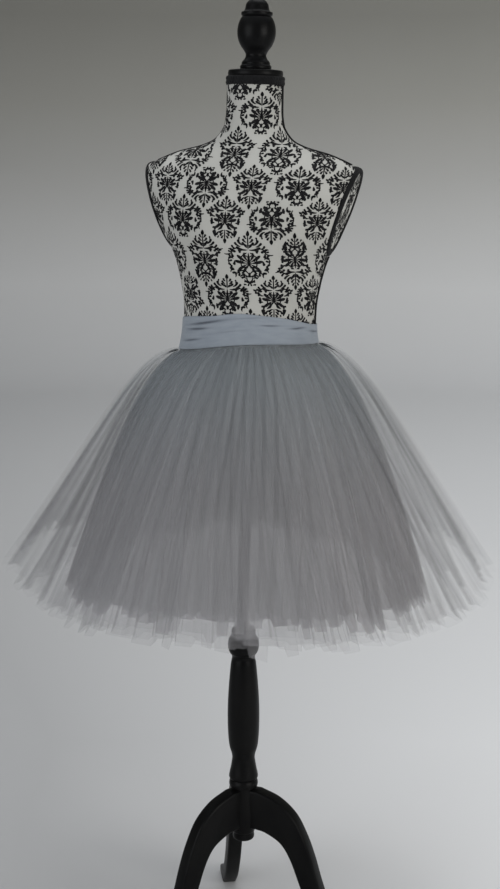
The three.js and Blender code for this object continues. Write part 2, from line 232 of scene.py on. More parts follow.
def multiplied(tree, factor, first, second):
    """First colour times the second one, as far as the factor says."""
    made = node(tree, "ShaderNodeMix", data_type="RGBA", blend_type="MULTIPLY")
    for name, value in (("Factor", factor), ("A", first), ("B", second)):
        fill(tree, made.inputs[name], value)
    return made.outputs["Result"]


def bump(tree, principled, height, strength, distance):
    made = tree.nodes.new("ShaderNodeBump")
    made.inputs["Strength"].default_value = strength
    made.inputs["Distance"].default_value = distance
    tree.links.new(height, made.inputs["Height"])
    tree.links.new(made.outputs["Normal"], principled.inputs["Normal"])


def weave(tree, vector, threads):
    """Height of a plain weave with so many threads to the unit of its coordinates."""
    waves = []
    for direction in ("X", "Y"):
        wave = tree.nodes.new("ShaderNodeTexWave")
        wave.bands_direction = direction
        wave.inputs["Scale"].default_value = threads
        wave.inputs["Distortion"].default_value = 0.4
        wave.inputs["Detail"].default_value = 1
        tree.links.new(vector, wave.inputs["Vector"])
        waves.append(wave.outputs["Fac"])
    return math_node(tree, "MULTIPLY", waves[0], waves[1])


def paint_material():
    """Satin black paint on turned wood: faint brush marks, a little dust."""
    material, tree, principled = shader("black_paint", 0.36, Specular_IOR_Level=0.1)
    marks = noise(tree, "Object", (60, 60, 9), 6.0, 4.0)
    cloud = noise(tree, "Object", (1, 1, 1), 14.0, 5.0)
    colour = ramp(tree, cloud, [(0.35, (0.003, 0.003, 0.0034)), (0.75, (0.007, 0.007, 0.0067))])
    tree.links.new(colour, principled.inputs["Base Color"])
    sheen = math_node(tree, "MULTIPLY_ADD", cloud, 0.25)
    sheen.node.inputs[2].default_value = 0.25
    tree.links.new(sheen, principled.inputs["Roughness"])
    bump(tree, principled, marks, 0.12, 0.0006)
    return material


def cover_material():
    """Cream cotton with a plain weave, a little uneven."""
    material, tree, principled = shader("cream_cotton", 0.88, Sheen_Weight=0.12, Sheen_Roughness=0.6)
    cloud = noise(tree, "Object", (1, 1, 1), 9.0, 6.0)
    colour = ramp(tree, cloud, [(0.3, (0.48, 0.475, 0.44)), (0.7, (0.55, 0.545, 0.51))])
    tree.links.new(colour, principled.inputs["Base Color"])
    bump(tree, principled, weave(tree, stretched(tree, "Object", (1, 1, 1)), 420.0), 0.25, 0.0003)
    return material


def ink_material():
    """Soft black print on the cotton, thinner here and there."""
    material, tree, principled = shader("black_print", 0.9, Specular_IOR_Level=0.15)
    cloud = noise(tree, "Object", (1, 1, 1), 120.0, 4.0)
    colour = ramp(tree, cloud, [(0.35, (0.006, 0.006, 0.007)), (0.8, (0.024, 0.023, 0.024))])
    tree.links.new(colour, principled.inputs["Base Color"])
    bump(tree, principled, weave(tree, stretched(tree, "Object", (1, 1, 1)), 420.0), 0.25, 0.0003)
    return material


def trim_material():
    """Black woven tape and braid."""
    gloss = {"Specular_IOR_Level": 0.2, "Sheen_Weight": 0.04, "Sheen_Roughness": 0.5}
    material, tree, principled = shader("black_braid", 0.85, **gloss)
    cloud = noise(tree, "Object", (1, 1, 1), 90.0, 4.0)
    colour = ramp(tree, cloud, [(0.3, (0.004, 0.004, 0.0045)), (0.75, (0.011, 0.011, 0.012))])
    tree.links.new(colour, principled.inputs["Base Color"])
    bump(tree, principled, weave(tree, stretched(tree, "Object", (1, 1, 0.6)), 520.0), 0.5, 0.0005)
    return material


def jersey_material():
    """Pale blue-grey stretch jersey, with fine upright ribs of stitches and painted shade in the hollows
    below its cross folds.
    """
    material, tree, principled = shader("blue_grey_jersey", 0.82, Sheen_Weight=0.25, Sheen_Roughness=0.45)
    cloud = noise(tree, "UV", (9, 30, 1), 4.0, 5.0)
    colour = ramp(tree, cloud, [(0.3, (0.275, 0.31, 0.355)), (0.72, (0.325, 0.36, 0.405))])
    # Painted shade: the colour is darkened in the hollows below the band's cross folds
    painted_groove_shade = node(tree, "ShaderNodeAttribute", attribute_name="painted_groove_shade").outputs["Fac"]
    shaded = multiplied(tree, painted_groove_shade, colour, (0.36, 0.37, 0.40, 1))
    tree.links.new(shaded, principled.inputs["Base Color"])
    ribs = weave(tree, stretched(tree, "UV", (1, 0.7, 1)), 330.0)
    bump(tree, principled, ribs, 0.35, 0.0004)
    return material


# Holes of the net to the metre, half the share of one that its threads take up,
# and the share of light that they add where they are and on the whole
NET_MESH = {"holes": 640.0, "thread": 0.12, "adds": 0.12, "even": 0.05}


def net_threads(tree):
    """The net's own six-sided mesh: what its threads add to the share of light that it stops."""
    net = tree.nodes.new("ShaderNodeTexVoronoi")
    net.voronoi_dimensions = "2D"
    net.feature = "DISTANCE_TO_EDGE"
    net.inputs["Scale"].default_value = NET_MESH["holes"]
    net.inputs["Randomness"].default_value = 0.3
    tree.links.new(stretched(tree, "UV", (1, 1, 1)), net.inputs["Vector"])
    thread = math_node(tree, "LESS_THAN", net.outputs["Distance"], NET_MESH["thread"])
    return math_node(tree, "MULTIPLY", thread, NET_MESH["adds"])


def tulle_material(name, sheet, high, low):
    """Nylon net: its cover is the share of light that one thickness stops; its colour shifts downwards."""
    material, tree, principled = shader(name, 0.85, Specular_IOR_Level=0.15)
    crease = node(tree, "ShaderNodeAttribute", attribute_name="crease").outputs["Fac"]
    fall = node(tree, "ShaderNodeAttribute", attribute_name="fall").outputs["Fac"]
    dense = node(tree, "ShaderNodeAttribute", attribute_name="dense").outputs["Fac"]
    # Slender streaks down the cloth, where threads lie closer
    wide = noise(tree, "UV", (9, 0.5, 1), 3.0, 2.0)
    fine = noise(tree, "UV", (56, 1.2, 1), 3.0, 2.0)
    share = add_up(tree, [(wide, 1.0), (fine, 0.5)], 0.22)
    # The mesh shows on the outer sheets; further in its even part is enough
    threads = net_threads(tree) if sheet["layer"] == "outer" else NET_MESH["even"]
    share = math_node(tree, "ADD", share, threads)
    share = math_node(tree, "MULTIPLY", math_node(tree, "MULTIPLY", share, sheet["cover"]), dense)
    share = add_up(tree, [(math_node(tree, "ABSOLUTE", crease), 0.37)], share)
    share.node.use_clamp = True
    tree.links.new(share, principled.inputs["Alpha"])
    blend = node(tree, "ShaderNodeMix", data_type="RGBA")
    tree.links.new(fall, blend.inputs["Factor"])
    blend.inputs["A"].default_value = (*high, 1)
    blend.inputs["B"].default_value = (*low, 1)
    mottle = ramp(tree, wide, [(0.3, (0.91, 0.92, 0.93)), (0.7, (1.07, 1.065, 1.06))])
    # Painted light and shade: the edges of some folds are painted paler, as if they caught the light, the
    # others darker, as in shade
    edge = add_up(tree, [(crease, 0.5)], 0.5)
    painted_fold_light_and_shade = ramp(tree, edge, [(0.0, (1.3, 1.3, 1.3)), (0.5, (1, 1, 1)), (1.0, (0.55, 0.55, 0.57))])
    result = blend.outputs["Result"]
    for shade in (mottle, painted_fold_light_and_shade):
        result = multiplied(tree, 1, result, shade)
    tree.links.new(result, principled.inputs["Base Color"])
    return material


def stage_material():
    """Pale paper, with painted shade that makes it darker towards its top, and painted light that makes it
    paler towards +X.
    """
    material, tree, principled = shader("pale_backdrop", 0.9)
    place = tree.nodes.new("ShaderNodeSeparateXYZ")
    tree.links.new(stretched(tree, "Object", (1, 1, 1)), place.inputs["Vector"])
    cloud = noise(tree, "Object", (1, 1, 1), 0.7, 3.0)
    # Painted shade: the paper's colour darkens with height
    painted_height_shade = add_up(tree, [(place.outputs["Z"], 0.4), (cloud, 0.06)], 0.0)
    colour = ramp(tree, painted_height_shade, [
        (0.0, (0.675, 0.675, 0.68)), (0.22, (0.7, 0.696, 0.688)),
        (0.68, (0.385, 0.377, 0.346)), (0.9, (0.27, 0.264, 0.238)),
    ])
    # Painted light: paler towards +X, where the light comes from
    depth = math_node(tree, "MAXIMUM", add_up(tree, [(place.outputs["Y"], 1.0)], 0.4), 1.2)
    painted_side_light = add_up(tree, [(math_node(tree, "DIVIDE", place.outputs["X"], depth), 0.67)], 1.0)
    painted_side_light = math_node(tree, "MINIMUM", math_node(tree, "MAXIMUM", painted_side_light, 0.75), 1.3)
    paler = node(tree, "ShaderNodeVectorMath", operation="SCALE")
    tree.links.new(colour, paler.inputs["Vector"])
    tree.links.new(painted_side_light, paler.inputs["Scale"])
    tree.links.new(paler.outputs["Vector"], principled.inputs["Base Color"])
    return material


PAINT = paint_material()
COVER = cover_material()
INK = ink_material()
TRIM = trim_material()
JERSEY = jersey_material()


# Dress form, by the same rule as its solid

FORM_COLUMNS = ("z", "side", "front", "back")
FORM = np.array([
    (740, 150, 100, 104), (746, 156, 106, 110), (780, 163, 110, 116), (822, 165, 111, 118),
    (870, 159, 107, 113), (920, 145, 99, 104), (960, 130, 92, 95), (1000, 116.5, 89, 88),
    (1050, 112.5, 87, 85), (1082, 113.5, 89, 85), (1116, 119, 95, 87), (1150, 127.5, 103, 91),
    (1178, 138, 111, 95), (1206, 147.5, 116, 98), (1240, 160, 115, 100), (1274, 172, 106, 99),
    (1300, 181, 95, 94), (1312, 184, 88, 89), (1320, 169, 82, 84), (1335, 133, 69, 74),
    (1347, 90, 60, 66), (1357, 69, 55, 60), (1372, 56, 51, 54), (1384, 50.5, 49, 51),
    (1409, 47.6, 47, 48.5), (1466, 47.3, 46.5, 47.5),
])
FORM_BOTTOM, FORM_TOP = FORM[0, 0], FORM[-1, 0]
FORM_ROUNDNESS = 2.15
ARMHOLE = {"z": 1243, "half_height": 70, "half_depth": 50, "least_depth": 12}
CHEST = {"angle": math.radians(36), "spread": math.radians(25), "z": 1214, "reach": 40, "rise": 6}


def smooth_column(column):
    """A fine table of one column of FORM against height, with no overshoot between its rows."""
    z, value = FORM[:, 0], FORM[:, column]
    rise = np.diff(value) / np.diff(z)
    slope = np.zeros(len(z))
    for k in range(1, len(z) - 1):
        if rise[k - 1] * rise[k] > 0:
            slope[k] = 2 * rise[k - 1] * rise[k] / (rise[k - 1] + rise[k])
    fine = np.arange(FORM_BOTTOM, FORM_TOP + 0.25, 0.5)
    i = np.clip(np.searchsorted(z, fine, side="right") - 1, 0, len(z) - 2)
    width = z[i + 1] - z[i]
    t = (fine - z[i]) / width
    s = 1 - t
    return fine, (
        value[i] * s * s * (1 + 2 * t) + value[i + 1] * t * t * (1 + 2 * s)
        + width * t * s * (slope[i] * s - slope[i + 1] * t)
    )


FORM_TABLES = {name: smooth_column(k) for k, name in enumerate(FORM_COLUMNS) if k}


def form_value(column, z):
    return np.interp(z, *FORM_TABLES[column])


def plate_depth(z):
    part = 1 - ((np.asarray(z, float) - ARMHOLE["z"]) / ARMHOLE["half_height"]) ** 2
    return ARMHOLE["half_depth"] * np.sqrt(np.clip(part, 0, None))


def form_radius(angle, z):
    """Reach of the form from its axis, in a direction and at a height."""
    side = form_value("side", z)
    depth = np.where(np.sin(angle) < 0, form_value("front", z), form_value("back", z))
    p = FORM_ROUNDNESS
    uncut = side / (1 - (plate_depth(z) / depth) ** p) ** (1 / p)
    across, along = np.abs(np.cos(angle)), np.abs(np.sin(angle))
    reach = ((across / uncut) ** p + (along / depth) ** p) ** (-1 / p)
    for hand in (-1, 1):
        off = turn_between(angle, -math.pi / 2 + hand * CHEST["angle"])
        reach = reach + CHEST["rise"] * hump(off, CHEST["spread"]) * hump(z - CHEST["z"], CHEST["reach"])
    return np.minimum(reach, side / np.maximum(across, 0.01))


def on_axis(angle, radius, z):
    angle, radius, z = np.broadcast_arrays(angle, radius, z)
    return np.stack([radius * np.cos(angle), radius * np.sin(angle), z], axis=-1)


def form_point(angle, z):
    return on_axis(angle, form_radius(angle, z), z)


def form_normal(angle, z):
    step_angle, step_z = 0.03, 2.5
    around = form_point(angle + step_angle, z) - form_point(angle - step_angle, z)
    up = form_point(angle, z + step_z) - form_point(angle, z - step_z)
    normal = np.cross(around, up)
    return normal / np.linalg.norm(normal, axis=-1, keepdims=True)


def plate_edge(z):
    """Direction, from the middle of the armhole plate, of its edge at a height."""
    return np.arctan2(np.maximum(plate_depth(z), ARMHOLE["least_depth"]), form_value("side", z))


def form_directions(z, plate_count, arc_count):
    side = form_value("side", z)
    edge = plate_edge(z)

    def arc(start, end, depth):
        spread = [math.atan2(math.sin(a) / depth, math.cos(a) / side) for a in (start, end)]
        place = np.linspace(*spread, arc_count, endpoint=False)
        return np.arctan2(depth * np.sin(place), side * np.cos(place))

    plate = np.linspace(-edge, edge, plate_count, endpoint=False)
    return np.concatenate([
        plate, arc(edge, math.pi - edge, form_value("back", z)),
        math.pi + plate, arc(-math.pi + edge, -edge, form_value("front", z)),
    ])


def make_form():
    heights = np.concatenate([
        [740, 741.5, 744, 748], np.arange(756, 1290, 8), np.arange(1290, 1392, 3), np.arange(1392, 1467, 6),
        [FORM_TOP],
    ])
    plate_count, arc_count = 12, 50
    rings = [form_point(form_directions(z, plate_count, arc_count), z) for z in heights]
    points = np.concatenate(rings + [[[0, 0, heights[0]], [0, 0, heights[-1]]]])
    faces = barrel_faces(len(rings), len(rings[0]))
    return add_piece("dress_form_cover", points, faces, COVER, replaces=["dress_form"])


make_form()


# Damask print: an own repeat of leafy medallions, drawn with leaves, commas and lines

def ribbon(centres, widths):
    """Flat stroke along points, with a width at each."""
    centres, widths = np.asarray(centres, float), np.asarray(widths, float)
    along = np.gradient(centres, axis=0)
    along /= np.linalg.norm(along, axis=1, keepdims=True) + 1e-9
    side = np.c_[-along[:, 1], along[:, 0]] * widths[:, None] / 2
    points = np.concatenate([centres - side, centres + side])
    count = len(centres)
    return points, np.array([[k, k + 1, count + k + 1, count + k] for k in range(count - 1)])


# Widths along a stroke from 0 to 1: a pointed leaf, a petal on a stalk, a round head with a tail and a line
STROKES = {
    "leaf": (9, lambda t: np.sin(math.pi * t ** 0.75) ** 0.8),
    "petal": (11, lambda t: 0.16 + 0.84 * np.clip(np.sin(math.pi * t ** 2.2), 0, 1) ** 0.7 * (t > 0.2)),
    "comma": (11, lambda t: np.minimum(1, (t + 0.015) / 0.15) ** 0.5 * (1 - t) ** 0.62),
    "line": (14, lambda t: 0.45 + 0.55 * np.sin(math.pi * t)),
}


def stroke(kind, x, y, heading, length, width, bend):
    """One stroke from its start, with its heading and its bend in degrees."""
    count, swell = STROKES[kind]
    t = np.linspace(0, 1, count)
    angle = np.radians(heading + bend * t)
    moves = np.c_[np.cos(angle), np.sin(angle)][:-1] * length / (count - 1)
    centres = np.array([x, y]) + np.concatenate([[[0, 0]], np.cumsum(moves, axis=0)])
    return ribbon(centres, 1.38 * width * swell(t) + 0.6)


# Strokes of the right half, in millimetres: kind, x, y, heading, length, width, bend
CROWN = [
    ("leaf", 0, 39, 90, 9, 3.8, 0), ("line", 0, 19, 90, 21, 1.2, 0), ("comma", 5.6, 40.5, 262, 7, 2.6, -62),
    ("comma", 7.6, 35.5, 256, 8.5, 2.8, -66), ("comma", 9, 30, 240, 10, 3, -62),
    ("comma", 15.5, 34, 262, 13, 3.2, -78), ("comma", 12.2, 37.5, 330, 6, 2, -120),
    ("comma", 21, 29.5, 240, 12, 2.9, -52), ("leaf", 1.5, 21, 58, 8, 2.2, -40),
]
ARMS = [
    ("comma", 19, 22, 214, 19, 3.4, -46), ("comma", 25.5, 25, 262, 10, 2.6, -104),
    ("comma", 29.5, 18.5, 182, 10, 2.8, 84), ("line", 16, 19.5, 12, 14, 1.2, -88),
    ("comma", 14, 14.5, 120, 8, 2.8, 92), ("comma", 20.5, 13, 70, 8, 3.0, -96),
]
LOOPS = [
    ("line", 0.5, 4, 66, 29, 1.1, -268), ("comma", 8, 12.5, 214, 6, 2.4, -96),
    ("comma", 5, 6.2, 40, 5, 2.0, 110), ("line", 0.5, -7, -70, 27, 1.1, 262),
    ("comma", 7.2, -12, 140, 6, 2.4, 96), ("comma", 4.5, -16, 30, 5, 1.9, -80),
]
HEART = [
    ("leaf", 0, -8, 90, 21, 2.6, 0), ("petal", 1, -4, 0, 21, 3.6, 24), ("petal", 1, -3, 27, 21, 3.4, 18),
    ("petal", 1, -2, 54, 15, 2.8, 14), ("petal", 1, -5, -27, 20, 3.4, -18),
    ("petal", 1, -6, -54, 15, 2.8, -12), ("comma", 24, 5, 60, 8, 3.6, 40),
    ("comma", 24, -7.5, 118, 8, 3.6, -30), ("comma", 16.5, -15, -80, 6, 3.2, 30),
    ("comma", 13, 12.5, 80, 6, 2.8, -60), ("comma", 8, -17, -60, 6, 2.6, 50),
]
SWAG = [
    ("line", 1, -22, 62, 22, 1.4, -130), ("comma", 10, -24.5, 176, 10, 2.6, 40),
    ("comma", 17, -25, 130, 10, 2.8, -116), ("comma", 11, -19, 250, 6, 2.6, -92),
    ("comma", 23.5, -19.5, 215, 9, 2.6, 100), ("leaf", 0, -27, 90, 8, 2.8, 0),
]
FOOT_LOOP = [
    ("line", 4, -27, 282, 20, 1.7, -186), ("line", 4.6, -27, 70, 13, 1.7, -150),
    ("comma", 8.6, -33.5, 190, 5, 2.6, -60), ("comma", 12.5, -29, 130, 8, 2.6, 110),
    ("comma", 2.6, -41, 100, 7, 1.9, 40), ("comma", 9.5, -39, 160, 5, 2.2, 60),
]
FOOT_POINT = [
    ("leaf", 0, -38, -90, 10, 3.8, 0), ("line", 0, -21, -90, 18, 1.2, 0),
    ("comma", 5.4, -38.5, 98, 7, 2.6, 62), ("comma", 7.4, -33.5, 104, 8.5, 2.8, 66),
    ("comma", 9, -28, 120, 10, 3, 60), ("comma", 14, -32.5, 96, 11, 2.8, 84),
    ("comma", 13, -36.5, 160, 5, 2, -80),
]
WREATH = [
    ("comma", 26.5, 13.5, 118, 10, 2.8, -170), ("comma", 32.2, 10, 205, 9, 2.8, 110),
    ("line", 25.5, 14, -50, 14, 1.2, 74), ("comma", 31.5, 3, 130, 9, 3.0, 120),
    ("comma", 26.5, 1, 310, 8, 2.5, 100), ("line", 31, 4, -70, 13, 1.2, -64),
    ("comma", 32.8, -5.5, 190, 9, 2.8, 96), ("comma", 26, -8.5, 330, 8, 2.6, -120),
    ("line", 30, -6, -120, 14, 1.2, 62), ("comma", 30.5, -13.5, 150, 9, 3.0, 116),
    ("comma", 24.5, -15.5, 20, 6, 2.4, -90), ("comma", 26.5, -21.5, 130, 9, 2.8, 120),
    ("comma", 31.5, 16, 230, 6, 2.2, -90),
]
BUDS = [
    ("comma", 18.5, -22, -96, 13, 5.2, -12), ("line", 12, -10, -50, 15, 1.3, -34),
    ("comma", 25.5, 11.5, 246, 12, 2.6, -84), ("comma", 31.5, 13, 225, 8, 2.8, -100),
    ("comma", 24.5, -10, 130, 8, 3.0, 80), ("comma", 21.5, -16, 200, 8, 2.6, -90),
    ("line", 19, 21, -38, 18, 1.2, 66), ("comma", 34, 17, 190, 8, 2.5, 70),
    ("comma", 24, 2.5, 250, 8, 2.6, 90),
]


def medallion(half_width, half_height, *groups):
    """Medallion of groups of strokes, mirrored on its middle line, to fit a half width and a half height."""
    grow = np.array([half_width / 33, half_height / 48])
    size = grow.mean()
    half = [
        stroke(kind, x * grow[0], y * grow[1], heading, length * size, width * min(1, size * 1.06), bend)
        for group in groups for kind, x, y, heading, length, width, bend in group
    ]
    parts = half + [(points * [-1, 1], faces[:, ::-1]) for points, faces in half]
    return joined(parts)


MOTIFS = {
    "tall": medallion(35, 51, CROWN, ARMS, LOOPS, HEART, SWAG, FOOT_LOOP, WREATH),
    "spade": medallion(31, 50, CROWN, ARMS, LOOPS, HEART, SWAG, FOOT_POINT, BUDS),
    "wide": medallion(37, 38, CROWN, ARMS, LOOPS, HEART, SWAG, FOOT_LOOP, WREATH),
    "star": medallion(32, 39, CROWN, ARMS, LOOPS, HEART, FOOT_POINT, BUDS),
}
PRINT_ROWS = [
    {"rise": 0, "kinds": ("tall", "spade")},
    {"rise": 68, "kinds": ("wide", "star")},
    {"rise": 125, "kinds": ("star", "wide")},
]
# Motifs on each armhole plate: kind, place from its middle and height
PLATE_PRINT = [("spade", 6, 1262), ("star", -30, 1205), ("wide", 42, 1198), ("star", -38, 1312)]
PRINT = {"across": 77, "down": 189, "first_z": 1162, "first_u": 24, "lift": 0.25}


class Panel:
    """Front or back of the form as flat cloth: u round from its middle, v up from its lower edge."""

    def __init__(self, facing):
        self.facing = facing
        self.heights = np.arange(FORM_BOTTOM, FORM_TOP + 1, 3.0)
        self.angles = np.linspace(0, math.pi / 2, 160)
        ring = form_point(facing + self.angles[None, :], self.heights[:, None])
        self.arcs = np.zeros(ring.shape[:2])
        self.arcs[:, 1:] = np.cumsum(np.linalg.norm(np.diff(ring, axis=1), axis=-1), axis=1)
        middle = form_point(facing, self.heights)
        steps = np.linalg.norm(np.diff(middle, axis=0), axis=-1)
        self.v = np.concatenate([[0], np.cumsum(steps)])

    def v_at(self, z):
        return np.interp(z, self.heights, self.v)

    def lay(self, u, v):
        """Directions and heights of flat points, and which of them lie on the panel."""
        z = np.interp(v, self.v, self.heights)
        row = (z - FORM_BOTTOM) / 3.0
        low = np.clip(row.astype(int), 0, len(self.heights) - 2)
        off = np.zeros(len(u))
        for i in np.unique(low):
            here = low == i
            part = row[here] - i
            spread = np.abs(u[here])
            near = np.interp(spread, self.arcs[i], self.angles)
            far = np.interp(spread, self.arcs[i + 1], self.angles)
            off[here] = near + (far - near) * part
        inside = off < math.pi / 2 - np.where(plate_depth(z) > ARMHOLE["least_depth"], plate_edge(z), 0.012)
        inside &= (v > 2) & (v < self.v[-1] - 3)
        return self.facing + np.sign(u) * off, z, inside


def add_print(name, parts):
    """Print of motifs, without the points of the strokes that were left out."""
    points, faces = joined(parts)
    used, faces = np.unique(faces, return_inverse=True)
    return add_piece(name, points[used], faces.reshape(-1, 4), INK)


def print_panel(name, facing, start):
    panel = Panel(facing)
    parts = []
    first = panel.v_at(PRINT["first_z"])
    for row in range(-6, 8):
        kinds = PRINT_ROWS[row % 3]["kinds"]
        v = first + row // 3 * PRINT["down"] + PRINT_ROWS[row % 3]["rise"]
        for step in range(-4, 5):
            u = start + step * PRINT["across"] + (row % 2) * PRINT["across"] / 2
            flat, motif_faces = MOTIFS[kinds[step % 2]]
            flip = -1 if (row + step) % 4 == 1 else 1
            angle, z, inside = panel.lay(flat[:, 0] + u, flip * flat[:, 1] + v)
            keep = inside[motif_faces].all(axis=1)
            if keep.any():
                lifted = form_point(angle, z) + PRINT["lift"] * form_normal(angle, z)
                parts.append((lifted, motif_faces[keep]))
    return add_print(name, parts)


def print_plate(name, hand):
    """The print on one armhole plate, laid flat on it."""
    parts = []
    for kind, across, z in PLATE_PRINT:
        flat, motif_faces = MOTIFS[kind]
        y, height = flat[:, 0] + across, flat[:, 1] + z
        room = (y / ARMHOLE["half_depth"]) ** 2 + ((height - ARMHOLE["z"]) / ARMHOLE["half_height"]) ** 2
        keep = (room < 0.96)[motif_faces].all(axis=1)
        x = hand * (form_value("side", height) + PRINT["lift"])
        parts.append((np.c_[x, y, height], motif_faces[keep]))
    return add_print(name, parts)


print_panel("print_front", -math.pi / 2, PRINT["first_u"])
print_panel("print_back", math.pi / 2, -PRINT["first_u"])
print_plate("print_plate_right", 1)
print_plate("print_plate_left", -1)


# Tape on the seams and the trim round the neck

TAPE = {"armhole": 13, "shoulder": 8, "side": 9, "lift": 0.35, "thickness": 2.0, "lowest": 1026}
NECK_TRIM = {"bottom": 1451.5, "top": 1466.3, "clear": 0.5, "thickness": 2.4}


def even_route(angle, z, spacing):
    """Directions and heights at even steps along a route on the form."""
    path = form_point(angle, z)
    along = np.concatenate([[0], np.cumsum(np.linalg.norm(np.diff(path, axis=0), axis=-1))])
    places = np.linspace(0, along[-1], max(2, int(along[-1] / spacing)))
    return np.interp(places, along, np.unwrap(angle)), np.interp(places, along, z)


def make_tape(name, angle, z, width, closed, replaces):
    spots = form_point(angle, z)
    if closed:
        along = np.roll(spots, -1, axis=0) - np.roll(spots, 1, axis=0)
    else:
        along = np.gradient(spots, axis=0)
    across = np.cross(along, form_normal(angle, z))
    across /= np.linalg.norm(across, axis=1, keepdims=True)
    top, under = [], []
    for part in np.linspace(-0.5, 0.5, 7):
        beside = spots + across * part * width
        direction = np.arctan2(beside[:, 1], beside[:, 0])
        height = beside[:, 2]
        base, normal = form_point(direction, height), form_normal(direction, height)
        crown = TAPE["lift"] + TAPE["thickness"] * (1 - 0.75 * abs(2 * part) ** 3)
        top.append(base + normal * crown)
        under.append(base + normal * TAPE["lift"] * 0.5)
    section = np.stack(top + under[::-1], axis=1)
    rows, size = section.shape[:2]
    faces = (tube_faces if closed else capped_faces)(rows, size)
    return add_piece(name, section.reshape(-1, 3), faces, TRIM, replaces=replaces)


def make_tapes(hand):
    label = "right" if hand > 0 else "left"
    facing = 0 if hand > 0 else math.pi
    turn = np.linspace(0, TAU, 180, endpoint=False)
    z = ARMHOLE["z"] + ARMHOLE["half_height"] * np.sin(turn) * 0.99
    angle = facing + np.arctan2(plate_depth(z) * np.sign(np.cos(turn)), form_value("side", z))
    make_tape(f"armhole_trim_{label}", angle, z, TAPE["armhole"], True, [f"armhole_tape_{label}"])
    clear = TAPE["armhole"] / 2 + 0.3
    stretches = {
        "shoulder": (NECK_TRIM["bottom"] - 0.3, ARMHOLE["z"] + ARMHOLE["half_height"] + clear),
        "side": (ARMHOLE["z"] - ARMHOLE["half_height"] - clear, TAPE["lowest"]),
    }
    for seam, (high, low) in stretches.items():
        z = np.linspace(high, low, 400)
        angle, z = even_route(np.full(len(z), float(facing)), z, 2.5)
        make_tape(f"{seam}_trim_{label}", angle, z, TAPE[seam], False, [f"{seam}_tape_{label}"])


make_tapes(1)
make_tapes(-1)


def make_neck_trim():
    """A narrow braid: two rows of small lobes round the top of the neck."""
    columns = 360
    angle = np.linspace(0, TAU, columns, endpoint=False)
    height = NECK_TRIM["top"] - NECK_TRIM["bottom"]
    inner = form_radius(angle, NECK_TRIM["bottom"]) + NECK_TRIM["clear"]
    rings = []
    for part in np.linspace(0, 1, 15):
        row = math.sin(TAU * part) ** 2
        lobes = 0.5 + 0.5 * np.cos(52 * angle + (math.pi if part > 0.5 else 0) + 4 * part)
        edge = 1 - abs(2 * part - 1) ** 6
        thick = NECK_TRIM["thickness"] * (0.45 + 0.55 * edge * (0.35 + 0.65 * row * lobes))
        rings.append(on_axis(angle, inner + thick, NECK_TRIM["bottom"] + part * height))
    rings.append(on_axis(angle, inner, NECK_TRIM["top"]))
    rings.append(on_axis(angle, inner, NECK_TRIM["bottom"]))
    faces = tube_faces(len(rings), columns)
    return add_piece("neck_braid", np.concatenate(rings), faces, TRIM, replaces=["neck_trim"])


make_neck_trim()


# Waistband

BAND = {"bottom": 1005, "top": 1046, "thickness": 2.0, "clear": 0.8, "flare": 2.2, "over_tape": 1.8}
# It sits higher at the front and towards +X, and is narrower there; its top edge rises more at the front
BAND_RISE = {"front": 19, "side": 11.5, "narrower": 10, "top": 0.4}
# Slow waves of its top edge: swing, how many once round, and their start
BAND_WAVES = [(1.8, 3, 4.7), (0.6, 7, 0)]
# Its cloth in metres: height of the doubled strip, and radius of the ring
BAND_CLOTH = {"height": 0.053, "radius": 0.103}
# Room inside its lower edge for the gathered net
BAND_TUCK = 2.8
# Cross folds of the band: direction, height above its lower edge, spread, reach, depth and slant
BAND_FOLDS = [
    (236, 43, 26, 2.3, 2.1, 1.2), (226, 34, 17, 2.2, 1.9, -0.8), (219, 16, 15, 2.0, 1.6, 1.0),
    (305, 31, 12, 1.7, 1.4, -0.6), (331, 27, 10, 1.8, 1.5, 1.0), (352, 21, 9, 1.8, 1.6, -1.2),
    (286, 44, 30, 1.4, 0.5, 0.4), (262, 24, 26, 1.6, 0.4, 0.8), (14, 36, 18, 1.8, 1.1, 1.0),
    (52, 24, 24, 1.8, 1.0, -1.2), (80, 36, 22, 1.6, 0.9, 0.6), (112, 16, 22, 1.8, 0.9, 1.2),
    (138, 32, 20, 1.8, 1.1, -0.9), (168, 22, 18, 1.8, 0.9, 0.8),
]


def band_inside(angle, z):
    over_tape = hump(np.sin(angle) * 110, 6.5) * BAND["over_tape"]
    return form_radius(angle, z) + BAND["clear"] + over_tape


def side_rise(angle):
    """How far the waist seam rises towards +X, and falls on the other side."""
    return BAND_RISE["side"] * np.cos(angle + TURN)


def front_rise(angle):
    """How far the waist seam rises, mostly towards the front of the form."""
    return BAND_RISE["front"] * ((1 - np.sin(angle)) / 2) ** 2 + side_rise(angle)


